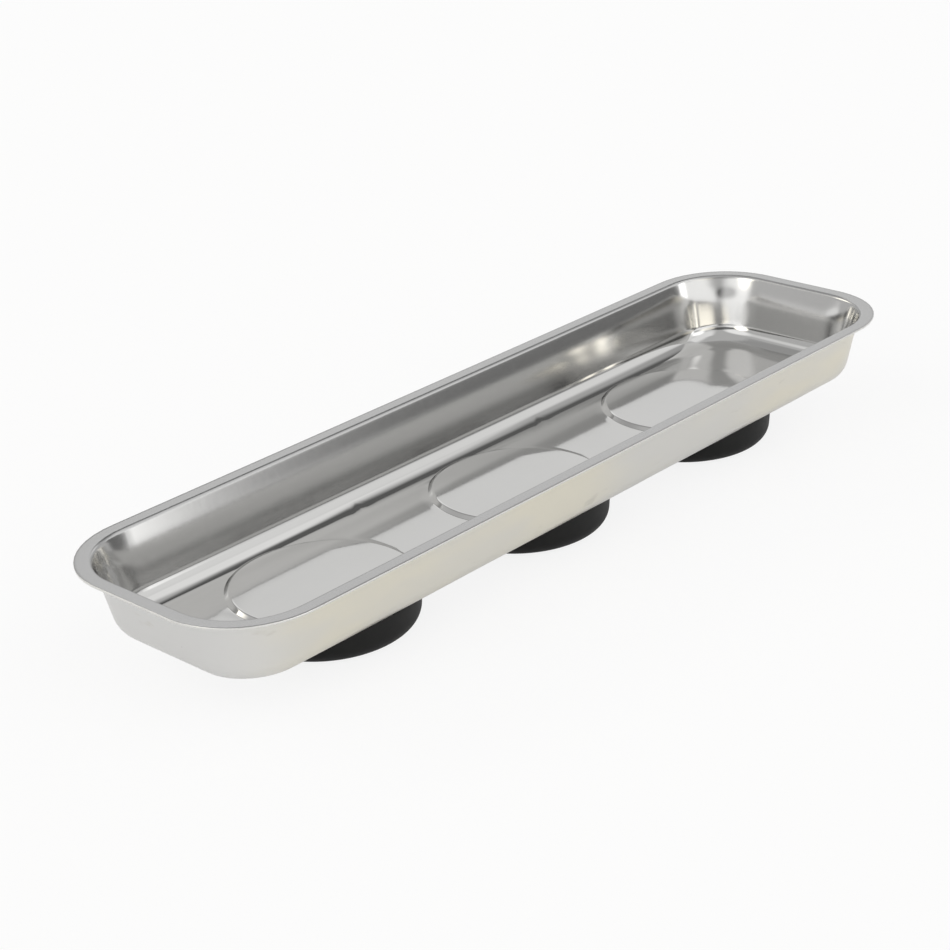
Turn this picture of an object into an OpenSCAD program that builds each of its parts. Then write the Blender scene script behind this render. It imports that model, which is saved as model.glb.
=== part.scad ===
// Long magnetic parts tray: a pan drawn from thin sheet, standing on three magnet feet.
// Millimetres, +Z up. The origin is under the middle of the tray, on the face that the feet stand on.
// The tray runs along X. Each foot is a rubber boot round a ring magnet and its steel plate.
// A foam pad bonds the magnet under a round seat that is pressed up into the floor of the pan.

/* [Pan] */
// Length over the rim
tray_length = 360; // [320:1:460]
// Width over the rim
tray_width = 100; // [94:1:150]
// Depth from the top of the rim to the underside of the floor
pan_depth = 27.4; // [20:0.2:38]
// Thickness of the sheet
sheet = 0.8; // [0.5:0.05:1.2]
// Radius of the rim's corners, seen from above
corner_radius = 32; // [27:0.5:42]
// Width of the flange, from its cut edge to the shoulder below it
flange_width = 5; // [3:0.5:8]
// Inside radius of the bend between flange and shoulder
rim_bend_radius = 0.8; // [0.5:0.1:1.5]
// Depth of the shoulder, from the top of the rim to where the wall turns steeper
shoulder_depth = 7.5; // [7:0.1:12]
// Lean of the shoulder out from upright, in degrees
shoulder_lean = 20; // [17:0.5:24]
// Inside radius of the gentle bend between shoulder and wall
knee_bend_radius = 60; // [20:5:80]
// Lean of the wall below the shoulder out from upright, in degrees
wall_draft = 12.5; // [8:0.5:16]
// Inside radius between wall and floor
floor_radius = 9; // [4:0.5:10]

/* [Seats in the floor] */
// Distance between the middles of neighbouring seats
seat_pitch = 100; // [72:1:122]
// Diameter of a seat over its pressed edge
seat_diameter = 68.4; // [60:0.2:70]
// Height of a seat above the floor
seat_rise = 1.3; // [0.8:0.1:2]
// Steepness of a seat's edge, in degrees
seat_edge_angle = 35; // [25:1:45]
// Inside radius of the two bends in a seat's edge
seat_bend_radius = 0.6; // [0.3:0.1:1]

/* [Rubber boots] */
// Side gap between a boot and the edge of its seat
boot_clearance = 0.6; // [0.4:0.1:1]
// Thickness of a boot's wall at its lip
boot_wall = 3.3; // [2.9:0.1:6]
// Thickness of a boot's base
boot_base = 2.5; // [1.5:0.1:4]
// How much narrower a boot's radius is at its base
boot_taper = 0.6; // [0:0.1:1.2]
// Radius of the round edge under a boot
boot_round = 6; // [3:0.5:7]

/* [Magnets] */
// Side gap between a magnet and its boot
magnet_clearance = 0.3; // [0.2:0.05:0.6]
// Thickness of a ring magnet
magnet_thickness = 9; // [6:0.5:14]
// Diameter of the hole through a ring magnet
magnet_hole = 32; // [16:1:40]
// Chamfer on the edges of a ring magnet
magnet_chamfer = 0.6; // [0.3:0.1:1.5]
// Thickness of the steel plate under a magnet
plate_thickness = 2; // [1:0.25:3]
// Thickness of the foam pad over a magnet
pad_thickness = 1.2; // [0.6:0.1:2]
// How far a pad's edge lies inside the edge of its magnet
pad_margin = 1; // [0.5:0.5:4]

/* [Hidden] */
$fn = 96;

// One overrun serves every cut
overrun = 1;

// Lean of the flange and the floor out from upright: they lie level
flange_lean = 90;

// Which way along X each seat lies from the middle
left = -1;
middle = 0;
right = 1;

// Heights in a foot, counted up from the face it stands on
plate_z = boot_base;
magnet_z = plate_z + plate_thickness;
pad_z = magnet_z + magnet_thickness;
seat_z = pad_z + pad_thickness;

// Heights of the pan
pan_bottom = seat_z - seat_rise;
floor_bend_z = pan_bottom + sheet + floor_radius;
rim_z = pan_bottom + pan_depth;
flange_z = rim_z - sheet;

// Middles of the corners, which every level of the pan shares
corner_x = tray_length / 2 - corner_radius;
corner_y = tray_width / 2 - corner_radius;

// How far a face of the shoulder lies out from the middle of its corner, at height z.
// The skin is 0 on the outer face and one sheet on the inner face.
function shoulder_x(z, skin) =
    corner_radius - flange_width - (flange_z - z) * tan(shoulder_lean) - skin / cos(shoulder_lean);

// The same for the wall, which meets the shoulder in a knee
knee_z = rim_z - shoulder_depth;
knee_x = shoulder_x(knee_z, 0);
knee_turn = shoulder_lean - wall_draft;
function wall_x(z, skin) = knee_x - (knee_z - z) * tan(wall_draft) - skin / cos(wall_draft);
function knee_height(skin) = knee_z + skin * sin((shoulder_lean + wall_draft) / 2) / cos(knee_turn / 2);

// Middles of the bends at the knee and at the rim
knee_bend_z = knee_height(-knee_bend_radius);
knee_middle = [wall_x(knee_bend_z, -knee_bend_radius), knee_bend_z];
rim_bend_z = flange_z - rim_bend_radius;
rim_middle = [shoulder_x(rim_bend_z, -rim_bend_radius), rim_bend_z];

// The edge of a seat is two bends with a straight slope between them
seat_bends = 2 * seat_bend_radius + sheet;
seat_slope = (seat_rise - seat_bends * (1 - cos(seat_edge_angle))) / sin(seat_edge_angle);
seat_edge = seat_bends * sin(seat_edge_angle) + seat_slope * cos(seat_edge_angle);
seat_radius = seat_diameter / 2;
seat_flat_radius = seat_radius - seat_edge;

// A boot nests in the hollow under its seat, and its lip is chamfered to match the seat's edge
boot_top_radius = seat_radius - boot_clearance;
boot_base_radius = boot_top_radius - boot_taper;
boot_bore_radius = boot_top_radius - boot_wall;
boot_lip_radius = seat_flat_radius - boot_clearance / 2;
boot_lip_z = seat_z - (boot_top_radius - boot_lip_radius) * tan(seat_edge_angle);
magnet_radius = boot_bore_radius - magnet_clearance;

// A point on a round bend, where the sheet has this lean. A radius under 0 bends the other way.
function on_bend(middle, radius, lean) = [middle.x - radius * cos(lean), middle.y + radius * sin(lean)];

// The slice of a round bend between two leans
module bend_slice(middle, radius, low_lean, high_lean) {
    intersection() {
        translate(middle)
            circle(abs(radius));
        polygon([middle, on_bend(middle, 2 * radius, low_lean), on_bend(middle, 2 * radius, high_lean)]);
    }
}

// Half of the pan's section, filled, from a corner's middle out to one face of the sheet.
// Straight lines join the ends of each bend, and then its slice is added or cut.
module bowl_section(skin, top_z) {
    floor_bend = -(floor_radius + sheet - skin);
    floor_bend_x = wall_x(floor_bend_z, skin) + floor_bend / cos(wall_draft);
    floor_middle = [floor_bend_x, floor_bend_z];
    difference() {
        union() {
            polygon([
                [0, pan_bottom + skin],
                on_bend(floor_middle, floor_bend, flange_lean),
                on_bend(floor_middle, floor_bend, wall_draft),
                on_bend(knee_middle, knee_bend_radius + skin, wall_draft),
                on_bend(knee_middle, knee_bend_radius + skin, shoulder_lean),
                on_bend(rim_middle, rim_bend_radius + skin, shoulder_lean),
                on_bend(rim_middle, rim_bend_radius + skin, flange_lean),
                [rim_middle.x, top_z],
                [0, top_z]
            ]);
            bend_slice(floor_middle, floor_bend, wall_draft, flange_lean);
        }
        bend_slice(knee_middle, knee_bend_radius + skin, wall_draft, shoulder_lean);
        bend_slice(rim_middle, rim_bend_radius + skin, shoulder_lean, flange_lean);
    }
}

module outside_section() {
    bowl_section(0, rim_z);
    translate([0, flange_z])
        square([corner_radius, sheet]);
}

module inside_section() {
    bowl_section(sheet, rim_z + overrun);
}

// Takes a section round the four corners and along the four sides, and fills the middle
module around_pan(low_z, high_z) {
    for (flip_x = [0, 1], flip_y = [0, 1])
        mirror([flip_x, 0, 0])
            mirror([0, flip_y, 0])
                translate([corner_x, corner_y, 0])
                    rotate_extrude(angle = 90)
                        children();
    for (turn = [0, 180])
        rotate([0, 0, turn]) {
            translate([corner_x, corner_y, 0])
                rotate([90, 0, 0])
                    linear_extrude(2 * corner_y)
                        children();
            translate([-corner_x, corner_y, 0])
                rotate([90, 0, 90])
                    linear_extrude(2 * corner_x)
                        children();
        }
    translate([-corner_x, -corner_y, low_z])
        cube([2 * corner_x, 2 * corner_y, high_z - low_z]);
}

// Half of a seat's section under one face of the sheet
module seat_section(skin) {
    top_bend = seat_bend_radius + skin;
    foot_bend = seat_bend_radius + sheet - skin;
    top_bend_z = seat_z - seat_bend_radius;
    foot_bend_z = pan_bottom + sheet + seat_bend_radius;
    across = sin(seat_edge_angle);
    up = cos(seat_edge_angle);
    difference() {
        union() {
            polygon([
                [0, pan_bottom + skin - overrun],
                [seat_radius, pan_bottom + skin - overrun],
                [seat_radius, pan_bottom + skin],
                [seat_radius - foot_bend * across, foot_bend_z - foot_bend * up],
                [seat_flat_radius + top_bend * across, top_bend_z + top_bend * up],
                [seat_flat_radius, seat_z + skin],
                [0, seat_z + skin]
            ]);
            translate([seat_flat_radius, top_bend_z])
                circle(top_bend);
        }
        translate([seat_radius, foot_bend_z])
            circle(foot_bend);
    }
}

module seats(skin) {
    for (place = [left, middle, right])
        translate([place * seat_pitch, 0, 0])
            rotate_extrude()
                seat_section(skin);
}

// The drawn pan: flange, shoulder, leaning wall, round floor edge and the three seats
module pan() {
    color([0.78, 0.78, 0.76])
        difference() {
            around_pan(pan_bottom, rim_z)
                outside_section();
            difference() {
                around_pan(pan_bottom + sheet, rim_z + overrun)
                    inside_section();
                seats(sheet);
            }
            seats(0);
        }
}

// A rubber cup with a round bottom edge and a chamfered lip
module boot(place) {
    color([0.15, 0.15, 0.15])
        translate([place * seat_pitch, 0, 0])
            rotate_extrude()
                difference() {
                    union() {
                        polygon([
                            [0, 0],
                            [boot_base_radius - boot_round, 0],
                            [boot_base_radius, boot_round],
                            [boot_top_radius, boot_lip_z],
                            [boot_lip_radius, seat_z],
                            [0, seat_z]
                        ]);
                        translate([boot_base_radius - boot_round, boot_round])
                            circle(boot_round);
                    }
                    translate([0, boot_base])
                        square([boot_bore_radius, seat_z]);
                }
}

// A ferrite ring with its four edges chamfered
module ring_magnet(place) {
    hole_radius = magnet_hole / 2;
    color([0.24, 0.23, 0.24])
        translate([place * seat_pitch, 0, magnet_z])
            rotate_extrude()
                polygon([
                    [hole_radius + magnet_chamfer, 0],
                    [magnet_radius - magnet_chamfer, 0],
                    [magnet_radius, magnet_chamfer],
                    [magnet_radius, magnet_thickness - magnet_chamfer],
                    [magnet_radius - magnet_chamfer, magnet_thickness],
                    [hole_radius + magnet_chamfer, magnet_thickness],
                    [hole_radius, magnet_thickness - magnet_chamfer],
                    [hole_radius, magnet_chamfer]
                ]);
}

// The steel disc that closes the magnet's field over the bench
module steel_plate(place) {
    color([0.62, 0.63, 0.65])
        translate([place * seat_pitch, 0, plate_z])
            cylinder(h = plate_thickness, r = magnet_radius);
}

// The foam disc, sticky on both faces, that bonds the magnet under its seat
module foam_pad(place) {
    color([0.88, 0.88, 0.84])
        translate([place * seat_pitch, 0, pad_z])
            cylinder(h = pad_thickness, r = magnet_radius - pad_margin);
}

pan();
boot(left);  // boot_left
boot(middle);  // boot_middle
boot(right);  // boot_right
ring_magnet(left);  // ring_magnet_left
ring_magnet(middle);  // ring_magnet_middle
ring_magnet(right);  // ring_magnet_right
steel_plate(left);  // steel_plate_left
steel_plate(middle);  // steel_plate_middle
steel_plate(right);  // steel_plate_right
foam_pad(left);  // foam_pad_left
foam_pad(middle);  // foam_pad_middle
foam_pad(right);  // foam_pad_right
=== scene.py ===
"""Dresses the magnetic parts tray: drawn stainless pan, moulded rubber boots, magnets, plates and pads."""

import math

import bpy
from mathutils import Matrix, Vector


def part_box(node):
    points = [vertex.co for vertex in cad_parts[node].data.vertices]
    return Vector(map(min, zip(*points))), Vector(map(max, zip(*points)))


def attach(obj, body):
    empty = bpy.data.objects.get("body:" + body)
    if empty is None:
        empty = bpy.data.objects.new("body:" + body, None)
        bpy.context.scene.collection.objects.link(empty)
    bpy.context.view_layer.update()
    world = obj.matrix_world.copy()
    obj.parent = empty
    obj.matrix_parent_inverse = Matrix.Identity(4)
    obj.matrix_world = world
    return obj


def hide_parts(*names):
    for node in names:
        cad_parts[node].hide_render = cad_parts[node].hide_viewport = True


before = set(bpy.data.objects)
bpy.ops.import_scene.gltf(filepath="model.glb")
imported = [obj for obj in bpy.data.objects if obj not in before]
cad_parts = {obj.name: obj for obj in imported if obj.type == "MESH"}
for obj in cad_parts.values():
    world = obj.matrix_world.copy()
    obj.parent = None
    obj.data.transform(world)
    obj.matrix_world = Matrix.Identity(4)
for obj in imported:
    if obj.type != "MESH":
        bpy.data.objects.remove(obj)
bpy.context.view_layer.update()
MM = 0.001

# Sizes of the pan
PAN_LOW, PAN_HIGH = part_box("pan")
SHEET = 0.8 * MM
CORNER_RADIUS = 32 * MM
FLANGE_WIDTH = 5 * MM
RIM_BEND_RADIUS = 0.8 * MM
SHOULDER_DEPTH = 7.5 * MM
SHOULDER_LEAN = math.radians(20)
KNEE_BEND_RADIUS = 60 * MM
WALL_DRAFT = math.radians(12.5)
FLOOR_RADIUS = 9 * MM
CUT_EDGE_ROUND = 0.14 * MM
CUT_EDGE_SEGMENTS = 2
SHARP_CORNER = math.radians(60)

# Sizes of the seats
SEAT_PITCH = 100 * MM
SEAT_RADIUS = 34.2 * MM
SEAT_RISE = 1.3 * MM
SEAT_EDGE_ANGLE = math.radians(35)
SEAT_BEND_RADIUS = 0.6 * MM
SEAT_FOOT_BLEND = 0.15

# Sizes of a boot
BOOT_LOW, BOOT_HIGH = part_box("boot_middle")
BOOT_TAPER = 0.6 * MM
BOOT_ROUND = 6 * MM
BOOT_WALL = 3.3 * MM
BOOT_BASE = 2.5 * MM
BOOT_CHAMFER = 2.19 * MM
BOOT_LIP_ROUND = 0.35 * MM
BOOT_RAYS = 160

# How finely the pan is drawn: rays round each seat, and rows out from its middle.
# A seat's field ends at this angle, where its side meets the next seat's.
RAYS = 200
FIELD_ANGLE = math.radians(36)
DISC_ROWS = 4
SEAT_EDGE_ROWS = 18
FLOOR_ROWS = 7
FLOOR_BEND_ROWS = 12
WALL_ROWS = 5
KNEE_ROWS = 8
SHOULDER_ROWS = 3
RIM_BEND_ROWS = 9
FLANGE_ROWS = 4

# Points of a mesh closer than this are merged, and no divisor is smaller than NEAR_ZERO
PAN_MERGE = 0.01 * MM
BOOT_MERGE = 0.001 * MM
NEAR_ZERO = 0.0001

# A guess at how the floor of the pan is hollow: its slope for each millimetre from the middle line, on
# the far side and on the near side, and the distances in millimetres over which it levels out again
FAR_HOLLOW = 0.0045
NEAR_HOLLOW = 0.0015
HOLLOW_END = (16, 28)

# The studio: light from all round, and soft cards and flags in it. Each has its way round from +X,
# its height, its half width and its half height in degrees, then the softness of its edge as a share of
# its size, and the light that it adds or takes away. The room's level and 13 of the rows come unchanged
# from a fit to the tones of the photograph. The other rows but low_card_right were changed from that fit.
ROOM_LIGHT = 0.65
WARM_LIGHT = (1.0, 0.95, 0.83)
FLOOR_HALF_SIZE = 4.0
FLOOR_PALE = (0.9, 0.9, 0.9, 1.0)
WHITE = (1.0, 1.0, 1.0, 1.0)
FLOOR_WHITE = 0.85
FLOOR_WHITE_IN_METAL = 0.35
CARDS = {
    "low_card_left": (190, 12, 28, 15, 0.3, 0.8),
    "low_card_front": (263, 10, 36, 14, 0.25, 0.7),
    "low_card_right": (296, 9, 7, 9, 0.3, 1.1),
    "flag_low": (208, 14, 20, 5, 0.3, -0.7),
    "flag_at_camera": (218, 34, 34, 7, 0.3, -0.5),
    "right_softbox_edge": (297, 20, 7, 9, 0.35, 0.95),
    "right_softbox": (315, 28, 21, 15, 0.4, 0.4),
    "flag_under_softbox": (320, 8, 14, 7, 0.3, -0.45),
    "front_lamp": (284, 37, 15, 8, 0.35, 1.05),
    "top_card": (300, 58, 40, 14, 0.3, 0.5),
    "flag_behind": (68, 54, 21, 13, 0.3, -0.2),
    "flag_right": (14, 47, 27, 9, 0.25, -0.5),
    "right_lamp": (15, 28, 7, 7, 0.35, 0.8),
    "back_card": (44, 23, 17, 11, 0.25, 0.28),
    "back_card_high": (56, 38, 10, 4, 0.35, 0.75),
    "low_card_back": (135, 6, 12, 4, 0.35, 0.5),
    "left_card_high": (172, 47, 28, 11, 0.35, 0.65),
    "flag_behind_low": (56, 11, 8, 4, 0.35, -0.45),
}
WARM_CARDS = {
    "left_window": (170, 26, 14, 9, 0.35, 2.9),
    "back_left_lamp": (112, 30, 17, 9, 0.35, 2.4),
    "front_card": (254, 29, 17, 6, 0.35, 1.0),
}

# The camera, which looks at the middle of the rim's plane. These values come from a fit to the outline
# of the tray in the photograph.
LENS = 82.74
SENSOR_WIDTH = 36
CLIP_START = 0.01
CLIP_END = 100
CAMERA_TURN = math.radians(-45.704)
CAMERA_LIFT = math.radians(23.99)
CAMERA_ROLL = math.radians(-3.514)
CAMERA_DISTANCE = 796.885 * MM
CAMERA_ASIDE = -14.964 * MM
CAMERA_RISE = -20.421 * MM


class Wire:
    """A socket in a tree of nodes. Sums, products and comparisons of wires add Math nodes."""

    def __init__(self, plan, socket):
        self.plan = plan
        self.socket = socket

    def __add__(self, other):
        return self.plan.math("ADD", self, other)

    def __radd__(self, other):
        return self.plan.math("ADD", other, self)

    def __sub__(self, other):
        return self.plan.math("SUBTRACT", self, other)

    def __rsub__(self, other):
        return self.plan.math("SUBTRACT", other, self)

    def __mul__(self, other):
        return self.plan.math("MULTIPLY", self, other)

    def __rmul__(self, other):
        return self.plan.math("MULTIPLY", other, self)

    def __truediv__(self, other):
        return self.plan.math("DIVIDE", self, other)

    def __rtruediv__(self, other):
        return self.plan.math("DIVIDE", other, self)

    def __gt__(self, other):
        return self.plan.math("GREATER_THAN", self, other)

    def __lt__(self, other):
        return self.plan.math("LESS_THAN", self, other)

    def __abs__(self):
        return self.plan.math("ABSOLUTE", self)

    def least(self, other):
        return self.plan.math("MINIMUM", self, other)

    def most(self, other):
        return self.plan.math("MAXIMUM", self, other)

    def within(self, low, high):
        return self.most(low).least(high)

    def share_between(self, low, high):
        """0 below low, 1 above high, and a smooth rise between them."""
        share = ((self - low) / (high - low)).within(0, 1)
        return share * share * (3 - 2 * share)

    def root(self):
        return self.plan.math("SQRT", self.most(0))

    def floor(self):
        return self.plan.math("FLOOR", self)


class Plan:
    """A tree of nodes, for a shape or for a finish, with the sizes that are its inputs."""

    def __init__(self, tree):
        self.tree = tree
        self.sizes = {}

    def node(self, kind, settings=None, sockets=None, out=0):
        """Adds a node, sets it up, joins its sockets and gives one of its outputs."""
        made = self.tree.nodes.new(kind)
        for name, value in (settings or {}).items():
            setattr(made, name, value)
        sockets = sockets or {}
        pairs = sockets.items() if isinstance(sockets, dict) else enumerate(sockets)
        for name, value in pairs:
            if isinstance(value, Wire):
                self.tree.links.new(value.socket, made.inputs[name])
            else:
                made.inputs[name].default_value = value
        return Wire(self, made.outputs[out]) if len(made.outputs) else made

    def math(self, operation, *values):
        return self.node("ShaderNodeMath", {"operation": operation}, values)

    def scaled(self, amount, vector, added=(0, 0, 0)):
        """A vector or a colour times a number, and another one added to it."""
        grown = self.node("ShaderNodeVectorMath", {"operation": "SCALE"}, {0: vector, "Scale": amount})
        return self.node("ShaderNodeVectorMath", {"operation": "ADD"}, [grown, added])

    def mixed(self, share, low, high):
        """A colour between two others, each a wire or three numbers."""
        low, high = (c if isinstance(c, Wire) else (*c, 1.0) for c in (low, high))
        return self.node("ShaderNodeMix", {"data_type": "RGBA"}, {0: share, 6: low, 7: high}, out=2)


def sine(angle):
    return angle.plan.math("SINE", angle) if isinstance(angle, Wire) else math.sin(angle)


def cosine(angle):
    return angle.plan.math("COSINE", angle) if isinstance(angle, Wire) else math.cos(angle)


def tangent(angle):
    return angle.plan.math("TANGENT", angle) if isinstance(angle, Wire) else math.tan(angle)


def shape_plan(name, sizes):
    """Starts a tree that makes a shape. Gives the plan and a wire for each of its named sizes."""
    tree = bpy.data.node_groups.new(name, "GeometryNodeTree")
    tree.interface.new_socket(name="Shape", in_out="OUTPUT", socket_type="NodeSocketGeometry")
    plan = Plan(tree)
    for label, value in sizes.items():
        kind = "NodeSocketInt" if isinstance(value, int) else "NodeSocketFloat"
        socket = tree.interface.new_socket(name=label, in_out="INPUT", socket_type=kind)
        plan.sizes[label] = (socket.identifier, value)
    entry = tree.nodes.new("NodeGroupInput")
    return plan, {label: Wire(plan, entry.outputs[label]) for label in sizes}


def finish_shape(plan, shape, material):
    """Ends a tree: instances made real, smooth faces, one material, and the output."""
    shape = plan.node("GeometryNodeSetShadeSmooth", sockets={"Geometry": shape})
    shape = plan.node("GeometryNodeRealizeInstances", sockets=[shape])
    shape = plan.node("GeometryNodeSetMaterial", sockets={"Geometry": shape, "Material": material})
    plan.node("NodeGroupOutput", sockets=[shape])


def plain_piece(name, plan, materials, **changed):
    """Runs a shape's tree once, with some sizes changed, and keeps the result as a plain mesh."""
    piece = bpy.data.objects.new(name, bpy.data.meshes.new(name))
    bpy.context.scene.collection.objects.link(piece)
    maker = piece.modifiers.new("maker", "NODES")
    maker.node_group = plan.tree
    for label, (identifier, value) in plan.sizes.items():
        maker[identifier] = changed.get(label.replace(" ", "_").lower(), value)
    seen = piece.evaluated_get(bpy.context.evaluated_depsgraph_get())
    mesh = bpy.data.meshes.new_from_object(seen)
    piece.modifiers.remove(maker)
    piece.data = mesh
    mesh.name = name
    mesh.materials.clear()
    for material in materials:
        mesh.materials.append(material)
    return piece


def seat_height(r, size):
    """Height of a seat's top face over the floor, at r from its middle: flat, bend, slope and bend."""
    angle = size["Seat Edge Angle"]
    crown = size["Seat Bend Radius"] + size["Sheet"]
    foot = size["Seat Bend Radius"]
    crown_run = crown * sine(angle)
    foot_run = foot * sine(angle)
    slope_run = size["Seat Edge"] - crown_run - foot_run
    x = (r - size["Seat Flat Radius"]).within(0, size["Seat Edge"])
    on_crown = x.least(crown_run)
    on_slope = (x - crown_run).within(0, slope_run)
    on_foot = (size["Seat Edge"] - x).least(foot_run)
    crown_drop = crown - (crown * crown - on_crown * on_crown).root()
    slope_drop = on_slope * tangent(angle)
    foot_drop = (foot * foot - on_foot * on_foot).root() - foot * cosine(angle)
    return size["Seat Rise"] - crown_drop - slope_drop - foot_drop


def along_section(row, stretches):
    """Follows a section from row to row. Each stretch has its number of rows, and then either a length
    and the way that it heads, or a radius and the two ways that it bends between, less than 0 for a bend
    to the right. Gives how far out and how far up the section has gone."""
    out, up = 0, 0
    start = 0
    for count, size, heading, *end in stretches:
        share = ((row - start) / count).within(0, 1)
        if end:
            way = heading + (end[0] - heading) * share
            out = out + size * (sine(way) - sine(heading))
            up = up + size * (cosine(heading) - cosine(way))
        else:
            out = out + size * cosine(heading) * share
            up = up + size * sine(heading) * share
        start += count
    return out, up


def on_points(plan, value):
    """A value worked out on the points of a mesh, for a node that works on its faces."""
    return plan.node("GeometryNodeFieldOnDomain", {"domain": "POINT", "data_type": "FLOAT"}, [value])


def pan_plan(material):
    """The drawn pan's top skin. Rays go out from the middle of each seat, over its pressed edge to the
    foot of the walls, and from there on square to the rim, up the wall and over the flange."""
    bends = 2 * SEAT_BEND_RADIUS + SHEET
    slope = (SEAT_RISE - bends * (1 - math.cos(SEAT_EDGE_ANGLE))) / math.sin(SEAT_EDGE_ANGLE)
    seat_edge = bends * math.sin(SEAT_EDGE_ANGLE) + slope * math.cos(SEAT_EDGE_ANGLE)
    plan, size = shape_plan("drawn_pan", {
        "Half Length": (PAN_HIGH.x - PAN_LOW.x) / 2,
        "Half Width": (PAN_HIGH.y - PAN_LOW.y) / 2,
        "Rim Height": PAN_HIGH.z,
        "Depth": PAN_HIGH.z - PAN_LOW.z,
        "Sheet": SHEET,
        "Corner Radius": CORNER_RADIUS,
        "Flange Width": FLANGE_WIDTH,
        "Rim Bend Radius": RIM_BEND_RADIUS,
        "Shoulder Depth": SHOULDER_DEPTH,
        "Shoulder Lean": SHOULDER_LEAN,
        "Knee Bend Radius": KNEE_BEND_RADIUS,
        "Wall Draft": WALL_DRAFT,
        "Floor Radius": FLOOR_RADIUS,
        "Seat Pitch": SEAT_PITCH,
        "Seat Flat Radius": SEAT_RADIUS - seat_edge,
        "Seat Edge": seat_edge,
        "Seat Rise": SEAT_RISE,
        "Seat Edge Angle": SEAT_EDGE_ANGLE,
        "Seat Bend Radius": SEAT_BEND_RADIUS,
        "Seat Foot Blend": SEAT_FOOT_BLEND,
        "Rays": RAYS,
    })
    rays = size["Rays"]
    floor_end = DISC_ROWS + SEAT_EDGE_ROWS + FLOOR_ROWS
    row_count = floor_end + FLOOR_BEND_ROWS + WALL_ROWS + KNEE_ROWS + SHOULDER_ROWS
    row_count += RIM_BEND_ROWS + FLANGE_ROWS + 1
    grid = plan.node("GeometryNodeMeshGrid", sockets={
        "Vertices X": (rays + 1) * 3,
        "Vertices Y": row_count,
    })
    index = plan.node("GeometryNodeInputIndex")
    ray = ((index + 0.5) / row_count).floor()
    row = index - ray * row_count
    block = ((ray + 0.5) / (rays + 1)).floor()
    turn = (ray - block * (rays + 1)) * math.tau / rays
    place = block - 1
    across = cosine(turn)
    up = sine(turn)

    # Where a ray from a seat's middle meets the line at which the section of the walls begins.
    # The line's distance from the corner's middle puts the corners of a seat's field on a ray.
    half_pitch = size["Seat Pitch"] / 2
    corner_x = size["Half Length"] - size["Corner Radius"]
    corner_y = size["Half Width"] - size["Corner Radius"]
    reach = half_pitch * math.tan(FIELD_ANGLE) - corner_y
    last = abs(place) * (across * place > 0)
    side_x = half_pitch + last * (corner_x - size["Seat Pitch"] + reach - half_pitch)
    to_side = side_x / abs(across).most(NEAR_ZERO)
    to_long_side = (corner_y + reach) / abs(up).most(NEAR_ZERO)
    straight = to_side.least(to_long_side)
    arc_x = corner_x - size["Seat Pitch"]
    along = arc_x * abs(across) + corner_y * abs(up)
    to_arc = along + (along * along - arc_x * arc_x - corner_y * corner_y + reach * reach).root()
    in_corner = last * (abs(across) * straight > arc_x) * (abs(up) * straight > corner_y)
    to_line = straight + in_corner * (to_arc - straight)

    # Inside that line a point goes out along its ray, over the seat and its edge
    on_disc = (row / DISC_ROWS).within(0, 1)
    on_edge = ((row - DISC_ROWS) / SEAT_EDGE_ROWS).within(0, 1)
    on_floor = ((row - DISC_ROWS - SEAT_EDGE_ROWS) / FLOOR_ROWS).within(0, 1)
    seat_radius = size["Seat Flat Radius"] + size["Seat Edge"]
    radius = size["Seat Flat Radius"] * on_disc + size["Seat Edge"] * on_edge
    radius = radius + (to_line - seat_radius) * on_floor
    middle_x = place * size["Seat Pitch"]
    floor_x = middle_x + across * radius
    floor_y = up * radius
    out_x = (abs(floor_x) - corner_x).most(0)
    out_y = (abs(floor_y) - corner_y).most(0)
    out = (out_x * out_x + out_y * out_y).root()

    # The rest of the section, on the top face: round floor edge, wall, shoulder, bend and flange.
    # It is laid out from the corner of the flange and the shoulder down to the round edge's middle.
    draft = size["Wall Draft"]
    wall_way = math.pi / 2 - draft
    shoulder_way = math.pi / 2 - size["Shoulder Lean"]
    bend = size["Floor Radius"]
    crown = size["Rim Bend Radius"] + size["Sheet"]
    knee_bend = size["Knee Bend Radius"] + size["Sheet"]
    knee_turn = size["Shoulder Lean"] - draft
    knee_shift = size["Sheet"] * sine((size["Shoulder Lean"] + draft) / 2) / cosine(knee_turn / 2)
    knee_depth = size["Shoulder Depth"] - knee_shift
    rim_corner = size["Corner Radius"] - size["Flange Width"] - size["Sheet"] * (
        1 / cosine(size["Shoulder Lean"]) - tangent(size["Shoulder Lean"]))
    knee = rim_corner - knee_depth * tangent(size["Shoulder Lean"])
    below_knee = size["Depth"] - size["Sheet"] - knee_depth - bend
    bend_x = knee - below_knee * tangent(draft) - bend / cosine(draft)
    start_angle = plan.math("ARCSINE", (reach - bend_x) / bend)
    cut_rim = crown * tangent(shoulder_way / 2)
    cut_knee = knee_bend * tangent(knee_turn / 2)
    wall = below_knee / cosine(draft) + bend * tangent(draft)
    shoulder = knee_depth / cosine(size["Shoulder Lean"])
    section_out, section_up = along_section(row - floor_end, [
        (FLOOR_BEND_ROWS, bend, start_angle, wall_way),
        (WALL_ROWS, wall - cut_knee, wall_way),
        (KNEE_ROWS, -1 * knee_bend, wall_way, shoulder_way),
        (SHOULDER_ROWS, shoulder - cut_knee - cut_rim, shoulder_way),
        (RIM_BEND_ROWS, -1 * crown, shoulder_way, 0),
        (FLANGE_ROWS, size["Corner Radius"] - rim_corner - cut_rim, 0),
    ])
    line_x = middle_x + across * to_line
    line_y = up * to_line
    core_x = line_x.least(corner_x).most(-1 * corner_x)
    core_y = line_y.least(corner_y).most(-1 * corner_y)
    wall_x = line_x + (line_x - core_x) / reach * section_out
    wall_y = line_y + (line_y - core_y) / reach * section_out

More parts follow.
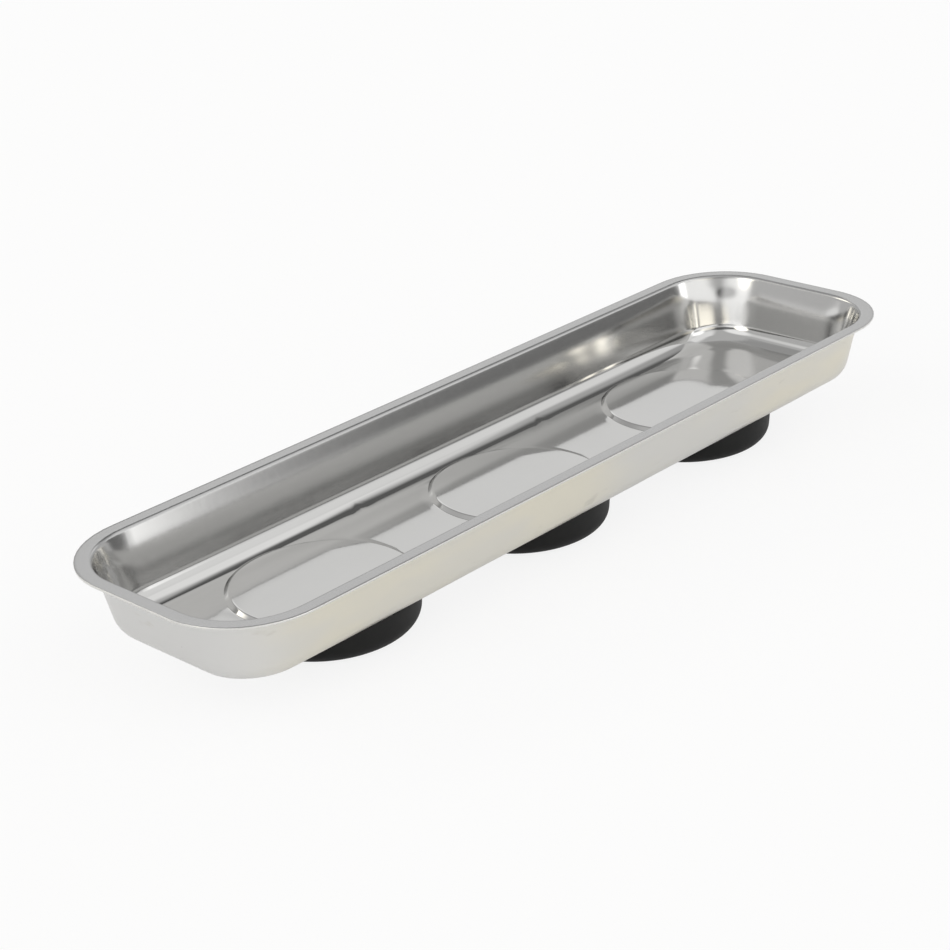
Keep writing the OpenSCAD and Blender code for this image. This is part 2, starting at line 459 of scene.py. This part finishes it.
    # The floor is the higher of the seat and the round edge, run softly into each other
    on_bend = (out - bend_x).within(0, bend)
    edge = bend - (bend * bend - on_bend * on_bend).root()
    seat = seat_height(radius, size)
    apart = edge - seat
    pressed = (edge + seat + (apart * apart + size["Seat Foot Blend"] * edge * seat).root()) / 2
    risen = row > floor_end
    spot = plan.node("ShaderNodeCombineXYZ", sockets=[
        floor_x + risen * (wall_x - floor_x),
        floor_y + risen * (wall_y - floor_y),
        size["Rim Height"] - size["Depth"] + size["Sheet"] + pressed + section_up,
    ])
    skin = plan.node("GeometryNodeSetPosition", sockets={"Geometry": grid, "Position": spot})

    # Takes away the faces between the blocks of the grid, and the walls between neighbouring seats
    block_here, turn_here, row_here = (on_points(plan, value) for value in (block, turn, row))
    between_blocks = abs(block_here - (block_here + 0.5).floor()) > 0.1
    place_here = block_here - 1
    inward = 1 - abs(place_here) * (cosine(turn_here) * place_here > 0)
    faces_seat = abs(tangent(turn_here)) < math.tan(FIELD_ANGLE)
    spare = between_blocks.most(inward * faces_seat * (row_here > floor_end))
    skin = plan.node("GeometryNodeDeleteGeometry", {"domain": "FACE"}, {"Geometry": skin, "Selection": spare})
    skin = plan.node("GeometryNodeMergeByDistance", sockets={"Geometry": skin, "Distance": PAN_MERGE})
    finish_shape(plan, plan.node("GeometryNodeFlipFaces", sockets=[skin]), material)
    return plan


def boot_plan(material):
    """A moulded cup, turned from its section: flat base, round lower edge, side that leans out a little,
    chamfered lip and bore, with a softened corner wherever a mould would soften it."""
    top_radius = (BOOT_HIGH.x - BOOT_LOW.x) / 2
    height = BOOT_HIGH.z - BOOT_LOW.z
    lip_width = BOOT_WALL - BOOT_CHAMFER
    bend_out = top_radius - BOOT_TAPER - BOOT_ROUND
    chamfer_drop = BOOT_CHAMFER * math.tan(SEAT_EDGE_ANGLE)
    side_out = top_radius - bend_out
    side_up = height - chamfer_drop - BOOT_ROUND
    side_length = math.sqrt(side_out ** 2 + side_up ** 2 - BOOT_ROUND ** 2)
    side_lean = math.atan2(side_up, side_out) + math.atan2(BOOT_ROUND, side_length)
    plan, size = shape_plan("moulded_boot", {
        "Middle X": 0.0,
        "Base Flat": bend_out,
        "Base Height": BOOT_LOW.z,
        "Edge Round": BOOT_ROUND,
        "Side Lean": side_lean,
        "Side Length": side_length,
        "Chamfer Length": BOOT_CHAMFER / math.cos(SEAT_EDGE_ANGLE),
        "Chamfer Angle": SEAT_EDGE_ANGLE,
        "Lip Width": lip_width,
        "Lip Round": BOOT_LIP_ROUND,
        "Bore Depth": height - BOOT_BASE,
        "Bore Radius": top_radius - BOOT_WALL,
        "Rays": BOOT_RAYS,
    })
    soft = size["Lip Round"]
    lean = size["Side Lean"]
    chamfer_way = math.pi - size["Chamfer Angle"]
    cut_side = soft * tangent((chamfer_way - lean) / 2)
    cut_lip = soft * tangent(size["Chamfer Angle"] / 2)
    stretches = [
        (6, size["Base Flat"], 0),
        (12, size["Edge Round"], 0, lean),
        (6, size["Side Length"] - cut_side, lean),
        (5, soft, lean, chamfer_way),
        (2, size["Chamfer Length"] - cut_side - cut_lip, chamfer_way),
        (4, soft, chamfer_way, math.pi),
        (1, size["Lip Width"] - cut_lip - soft, math.pi),
        (6, soft, math.pi, math.pi * 1.5),
        (3, size["Bore Depth"] - soft, math.pi * 1.5),
        (3, size["Bore Radius"], math.pi),
    ]
    row_count = sum(stretch[0] for stretch in stretches) + 1
    grid = plan.node("GeometryNodeMeshGrid", sockets={
        "Vertices X": size["Rays"] + 1,
        "Vertices Y": row_count,
    })
    index = plan.node("GeometryNodeInputIndex")
    ray = ((index + 0.5) / row_count).floor()
    out, up = along_section(index - ray * row_count, stretches)
    turn = ray * math.tau / size["Rays"]
    spot = plan.node("ShaderNodeCombineXYZ", sockets=[
        size["Middle X"] + cosine(turn) * out,
        sine(turn) * out,
        size["Base Height"] + up,
    ])
    cup = plan.node("GeometryNodeSetPosition", sockets={"Geometry": grid, "Position": spot})
    cup = plan.node("GeometryNodeMergeByDistance", sockets={"Geometry": cup, "Distance": BOOT_MERGE})
    finish_shape(plan, cup, material)
    return plan


def place_camera():
    """Stands the camera where the photographer's was, so that the view and its perspective agree."""
    target = Vector((0, 0, PAN_HIGH.z))
    turned = math.cos(CAMERA_LIFT)
    back = Vector((math.sin(CAMERA_TURN) * turned, -math.cos(CAMERA_TURN) * turned, math.sin(CAMERA_LIFT)))
    level = (-back).cross(Vector((0, 0, 1))).normalized()
    upright = level.cross(-back)
    right = level * math.cos(CAMERA_ROLL) + upright * math.sin(CAMERA_ROLL)
    up = upright * math.cos(CAMERA_ROLL) - level * math.sin(CAMERA_ROLL)
    place = target + back * CAMERA_DISTANCE + right * CAMERA_ASIDE + up * CAMERA_RISE
    data = bpy.data.cameras.new("photo_view")
    data.lens = LENS
    data.sensor_width = SENSOR_WIDTH
    data.clip_start = CLIP_START
    data.clip_end = CLIP_END
    camera = bpy.data.objects.new("photo_view", data)
    bpy.context.scene.collection.objects.link(camera)
    camera.matrix_world = Matrix((
        (right.x, up.x, back.x, place.x),
        (right.y, up.y, back.y, place.y),
        (right.z, up.z, back.z, place.z),
        (0, 0, 0, 1),
    ))
    bpy.context.scene.camera = camera


def finish_plan(name):
    """Starts a material with an empty tree."""
    material = bpy.data.materials.new(name)
    material.use_nodes = True
    material.node_tree.nodes.clear()
    return material, Plan(material.node_tree)


def end_finish(plan, shader):
    plan.node("ShaderNodeOutputMaterial", sockets=[shader])


def place_on_tray(plan):
    """Where a point lies on the tray, in millimetres: the whole vector, and its X, Y and Z."""
    spot = plan.node("ShaderNodeTexCoord", out=3)
    spot = plan.node("ShaderNodeVectorMath", {"operation": "SCALE"}, {0: spot, "Scale": 1 / MM})
    split = plan.node("ShaderNodeSeparateXYZ", sockets=[spot])
    return spot, *(Wire(plan, part) for part in split.socket.node.outputs)


def clouds(plan, spot, waves, detail=2.0, shift=0.0):
    """Cloudy noise about 0, mostly within 0.4 of it, with so many waves a millimetre along X, Y and Z."""
    spot = plan.node("ShaderNodeMapping", sockets={"Vector": spot, "Scale": waves, "Location": (shift,) * 3})
    cloud = plan.node("ShaderNodeTexNoise", sockets={"Vector": spot, "Scale": 1.0, "Detail": detail})
    return (cloud - 0.5) * 2


def raised(plan, height, facing=None):
    """The way that a surface faces once it is raised by a height in millimetres."""
    sockets = {"Strength": 1.0, "Distance": 1.0, "Height": height * MM}
    if facing:
        sockets["Normal"] = facing
    return plan.node("ShaderNodeBump", sockets=sockets)


def metal_finish(plan, colour, roughness, normal):
    shader = plan.node("ShaderNodeBsdfPrincipled", sockets={
        "Base Color": colour,
        "Metallic": 1.0,
        "Roughness": roughness,
        "Normal": normal,
    })
    end_finish(plan, shader)


def sunk_floor(plan, y, z):
    """The way that the floor of the pan faces. It is taken to be a little hollow, far too little to see by
    itself, but enough to turn what its bright face shows. Only the shading turns, and the mesh stays flat."""
    far_slope = y.most(0) * FAR_HOLLOW * (1 - y.share_between(*HOLLOW_END))
    near_slope = y.least(0) * NEAR_HOLLOW * (1 - (y * -1).share_between(*HOLLOW_END))
    on_floor = 1 - z.share_between(SEAT_RISE / MM + 0.3, SEAT_RISE / MM + 1.5)
    tilt = plan.node("ShaderNodeCombineXYZ", sockets={"Y": (far_slope + near_slope) * on_floor * -1})
    facing = plan.node("ShaderNodeNewGeometry", out=1)
    facing = plan.node("ShaderNodeVectorMath", {"operation": "ADD"}, [facing, tilt])
    return plan.node("ShaderNodeVectorMath", {"operation": "NORMALIZE"}, [facing])


def bright_inside():
    """The inside of the pan: nearly a mirror on the floor, duller up the walls and satin on the flange,
    with fine rolling marks along the floor and the marks of the draw up the walls."""
    material, plan = finish_plan("bright_drawn_inside")
    spot, _, y, z = place_on_tray(plan)
    floor_z = (PAN_LOW.z + SHEET) / MM
    rim_z = PAN_HIGH.z / MM
    up_wall = z.share_between(floor_z + 2, floor_z + 11)
    on_flange = z.share_between(rim_z - 1.4, rim_z - 0.3)
    grain = clouds(plan, spot, (0.03, 2.6, 0.03), 3.0)
    draw_marks = clouds(plan, spot, (0.9, 0.9, 0.02), 3.0, 4.0)
    broad_marks = clouds(plan, spot, (0.11, 0.11, 0.012), 2.0, 9.0)
    mottle = clouds(plan, spot, (0.05, 0.05, 0.08), 3.0, 2.0)
    smudges = clouds(plan, spot, (0.09, 0.13, 0.13), 4.0, 7.0).share_between(0.1, 0.5)
    roughness = 0.055 + 0.075 * up_wall + 0.11 * on_flange
    roughness = roughness + 0.012 * grain * (1 - up_wall) + 0.02 * draw_marks * up_wall + 0.012 * smudges
    tone = 0.5 + 0.25 * mottle + 0.2 * draw_marks * up_wall + 0.12 * grain * (1 - up_wall)
    colour = plan.mixed(tone.within(0, 1), (0.56, 0.557, 0.548), (0.62, 0.617, 0.606))
    colour = plan.mixed(0.8 * on_flange, colour, (0.47, 0.47, 0.468))
    height = 0.0006 * broad_marks + 0.00006 * draw_marks + 0.00003 * grain + 0.0008 * mottle
    facing = sunk_floor(plan, y, z - floor_z)
    metal_finish(plan, colour, roughness.within(0.04, 1), raised(plan, height, facing))
    return material


def satin_outside():
    """The outside of the pan: satin, with faint marks along it, a patchy painted warm reflection on the near
    side, and very faint stains.
    """
    material, plan = finish_plan("satin_drawn_outside")
    spot, x, y, _ = place_on_tray(plan)
    grain = clouds(plan, spot, (0.05, 0.05, 3.0), 3.0, 3.0)
    fine = clouds(plan, spot, (1.6, 1.6, 1.6), 2.0, 8.0)
    reflection_patches = clouds(plan, spot, (0.02, 0.02, 0.06), 2.0, 5.0).share_between(-0.25, 0.3)
    stains = clouds(plan, spot, (0.07, 0.07, 0.16), 4.0, 11.0).share_between(0.28, 0.6)
    specks = clouds(plan, spot, (0.8, 0.8, 0.8), 1.0, 6.0).share_between(0.66, 0.74)
    # Painted reflection: from the left end along the near side, the colour turns warm and paler in patchy
    # areas, less so over a middle stretch. It stands in for warm light reflected from the floor in front.
    near_side_reflection = (y * -1).share_between(20, 46) * (x + 176).share_between(0, 40)
    weak_reflection_stretch = x.share_between(-15, 20) * (1 - x.share_between(75, 105))
    warm = near_side_reflection * (0.55 + 0.45 * reflection_patches) * (1 - 0.6 * weak_reflection_stretch)
    # The warm colour mixed in here is that painted reflection, not a tint of the steel.
    colour = plan.mixed(warm, (0.7, 0.698, 0.69), (0.8, 0.765, 0.655))
    colour = plan.mixed(stains * 0.5, colour, (0.56, 0.535, 0.48))
    colour = plan.mixed(specks * 0.6, colour, (0.3, 0.29, 0.27))
    roughness = 0.33 + 0.03 * grain + 0.02 * fine + 0.05 * stains
    height = 0.0001 * grain + 0.0001 * fine + 0.004 * clouds(plan, spot, (0.03, 0.03, 0.05), 1.0, 1.0)
    metal_finish(plan, colour, roughness, raised(plan, height))
    return material


def sheared_edge():
    """The cut edge of the sheet: bright, with short marks across it from the shear."""
    material, plan = finish_plan("sheared_edge")
    spot, *_ = place_on_tray(plan)
    across = clouds(plan, spot, (1.8, 1.8, 0.1), 3.0)
    colour = plan.mixed(0.5 + 0.5 * across, (0.7, 0.69, 0.67), (0.82, 0.82, 0.8))
    metal_finish(plan, colour, 0.24 + 0.06 * across, raised(plan, 0.0004 * across))
    return material


def moulded_rubber():
    """Matt black rubber with the fine grain of its mould, and a trace of dust held in it."""
    material, plan = finish_plan("moulded_rubber")
    spot, *_ = place_on_tray(plan)
    fine = clouds(plan, spot, (3.2, 3.2, 3.2), 3.0)
    broad = clouds(plan, spot, (0.12, 0.12, 0.2), 3.0, 5.0)
    dust = clouds(plan, spot, (1.1, 1.1, 1.1), 2.0, 9.0).share_between(0.35, 0.7)
    colour = plan.mixed((0.5 + 0.5 * broad).within(0, 1), (0.007, 0.007, 0.0072), (0.013, 0.013, 0.0127))
    colour = plan.mixed(0.2 * dust, colour, (0.06, 0.059, 0.056))
    shader = plan.node("ShaderNodeBsdfPrincipled", sockets={
        "Base Color": colour,
        "Roughness": 0.52 + 0.06 * broad + 0.05 * fine,
        "Specular IOR Level": 0.2,
        "Normal": raised(plan, 0.006 * fine + 0.02 * broad),
    })
    end_finish(plan, shader)
    return material


def pressed_ferrite():
    """Dull charcoal ferrite, as pressed and fired, with pits and a faint cast of rust."""
    material, plan = finish_plan("pressed_ferrite")
    spot, *_ = place_on_tray(plan)
    fine = clouds(plan, spot, (2.2, 2.2, 2.2), 4.0)
    pits = clouds(plan, spot, (0.9, 0.9, 0.9), 1.0, 6.0).share_between(0.45, 0.6)
    colour = plan.mixed((0.5 + 0.5 * fine).within(0, 1), (0.04, 0.038, 0.038), (0.085, 0.082, 0.083))
    shader = plan.node("ShaderNodeBsdfPrincipled", sockets={
        "Base Color": plan.mixed(0.3 * pits, colour, (0.12, 0.07, 0.05)),
        "Roughness": 0.62 + 0.1 * fine,
        "Normal": raised(plan, 0.01 * fine - 0.04 * pits),
    })
    end_finish(plan, shader)
    return material


def zinc_plated_steel():
    """Zinc plating on a punched steel disc, with its grain in patches of slightly different tone."""
    material, plan = finish_plan("zinc_plated_steel")
    spot, *_ = place_on_tray(plan)
    crystals = plan.node("ShaderNodeTexVoronoi", sockets={"Vector": spot, "Scale": 0.35}, out=1)
    tone = plan.node("ShaderNodeSeparateXYZ", sockets=[crystals])
    fine = clouds(plan, spot, (1.4, 1.4, 1.4), 3.0)
    colour = plan.mixed(tone, (0.5, 0.515, 0.53), (0.64, 0.65, 0.655))
    metal_finish(plan, colour, 0.34 + 0.1 * tone + 0.04 * fine, raised(plan, 0.002 * fine))
    return material


def sticky_foam():
    """White closed foam, with the cells that show at its cut side."""
    material, plan = finish_plan("sticky_foam")
    spot, *_ = place_on_tray(plan)
    cells = plan.node("ShaderNodeTexVoronoi", sockets={"Vector": spot, "Scale": 4.0})
    cloud = clouds(plan, spot, (0.3, 0.3, 0.3), 2.0)
    colour = plan.mixed((0.5 + 0.5 * cloud).within(0, 1), (0.74, 0.73, 0.68), (0.84, 0.835, 0.8))
    shader = plan.node("ShaderNodeBsdfPrincipled", sockets={
        "Base Color": plan.mixed((1 - 2 * cells).within(0, 0.3), colour, (0.6, 0.59, 0.55)),
        "Roughness": 0.85 + 0.05 * cloud,
        "Normal": raised(plan, 0.05 * cells),
    })
    end_finish(plan, shader)
    return material


def floor_share(plan):
    """How much of the floor's white is shown to a ray from the camera, and to one turned by metal."""
    path = plan.node("ShaderNodeLightPath")
    rays = {out.name: Wire(plan, out) for out in path.socket.node.outputs}
    turned = rays["Is Glossy Ray"].most(rays["Is Transmission Ray"])
    return (rays["Is Camera Ray"] * FLOOR_WHITE).most(turned * FLOOR_WHITE_IN_METAL)


def stage_floor():
    """A pale floor under the tray. It shows white, and keeps a pale shadow."""
    mesh = bpy.data.meshes.new("studio_floor")
    half = FLOOR_HALF_SIZE
    corners = [(-half, -half, 0), (half, -half, 0), (half, half, 0), (-half, half, 0)]
    mesh.from_pydata(corners, [], [(0, 1, 2, 3)])
    floor = bpy.data.objects.new("studio_floor", mesh)
    bpy.context.scene.collection.objects.link(floor)
    material, plan = finish_plan("studio_white")
    pale = plan.node("ShaderNodeBsdfDiffuse", sockets={"Color": FLOOR_PALE})
    white = plan.node("ShaderNodeEmission", sockets={"Color": WHITE, "Strength": 1.0})
    end_finish(plan, plan.node("ShaderNodeMixShader", sockets=[floor_share(plan), pale, white]))
    material.cycles.emission_sampling = "NONE"
    mesh.materials.append(material)


def card_light(plan, way, card):
    """How much of a soft oval card, or of a flag, lies in a direction, times the light that it adds."""
    round_from_x, height, half_width, half_height, softness, strength = card
    round_from_x, height, half_width, half_height = (
        math.radians(degrees) for degrees in (round_from_x, height, half_width, half_height))
    level = math.cos(height)
    middle = (math.cos(round_from_x) * level, math.sin(round_from_x) * level, math.sin(height))
    seen = plan.node("ShaderNodeMapping", {"vector_type": "TEXTURE"}, {
        "Vector": way,
        "Location": middle,
        "Rotation": (0, -height, round_from_x),
        "Scale": (1, math.sin(half_width), math.sin(half_height)),
    })
    from_middle = plan.node("ShaderNodeVectorMath", {"operation": "LENGTH"}, [seen], out=1)
    return plan.node("ShaderNodeMapRange", {"interpolation_type": "SMOOTHSTEP"}, {
        "Value": from_middle,
        "From Min": 1 - softness,
        "From Max": 1 + softness,
        "To Min": strength,
        "To Max": 0.0,
    })


def studio_light():
    """Soft light from all round, with soft cards and flags in it. The camera itself sees plain white."""
    world = bpy.data.worlds.new("studio")
    bpy.context.scene.world = world
    world.use_nodes = True
    world.node_tree.nodes.clear()
    world.cycles.sampling_method = "NONE"
    plan = Plan(world.node_tree)
    way = plan.node("ShaderNodeTexCoord", out=0)
    plain = ROOM_LIGHT
    for card in CARDS.values():
        plain = plain + card_light(plan, way, card)
    warm = 0
    for card in WARM_CARDS.values():
        warm = warm + card_light(plan, way, card)
    colour = plan.scaled(warm, WARM_LIGHT, plan.scaled(plain.most(0), (1, 1, 1)))
    path = plan.node("ShaderNodeLightPath")
    light = plan.node("ShaderNodeBackground", sockets={"Color": colour, "Strength": 1.0})
    white = plan.node("ShaderNodeBackground", sockets={"Color": WHITE, "Strength": 1.0})
    shown = plan.node("ShaderNodeMixShader", sockets=[path, light, white])
    plan.node("ShaderNodeOutputWorld", sockets=[shown])


def give_sheet_thickness(skin):
    """Thickens the pan's top skin downwards into a sheet, with its outside and cut edge in their own
    finishes, and eases the corners of the cut edge."""
    thickness = skin.modifiers.new("sheet", "SOLIDIFY")
    thickness.thickness = SHEET
    thickness.offset = -1
    thickness.use_even_offset = True
    thickness.use_quality_normals = True
    thickness.material_offset = 1
    thickness.material_offset_rim = 2
    eased = skin.modifiers.new("eased_cut_edge", "BEVEL")
    eased.limit_method = "ANGLE"
    eased.angle_limit = SHARP_CORNER
    eased.width = CUT_EDGE_ROUND
    eased.segments = CUT_EDGE_SEGMENTS


inside = bright_inside()
outside = satin_outside()
edge = sheared_edge()
pan = plain_piece("pan_sheet", pan_plan(inside), [inside, outside, edge])
give_sheet_thickness(pan)
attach(pan, "root")
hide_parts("pan")

rubber = moulded_rubber()
boots = boot_plan(rubber)
for side in ("left", "middle", "right"):
    low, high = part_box("boot_" + side)
    boot = plain_piece("rubber_boot_" + side, boots, [rubber], middle_x=(low.x + high.x) / 2)
    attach(boot, "root")
    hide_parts("boot_" + side)

ferrite = pressed_ferrite()
zinc = zinc_plated_steel()
foam = sticky_foam()
for side in ("left", "middle", "right"):
    for part, finish in (("ring_magnet_", ferrite), ("steel_plate_", zinc), ("foam_pad_", foam)):
        solid = bpy.data.objects[part + side]
        for slot in solid.material_slots:
            slot.material = finish

bpy.context.scene.view_settings.view_transform = "Standard"
place_camera()
stage_floor()
studio_light()
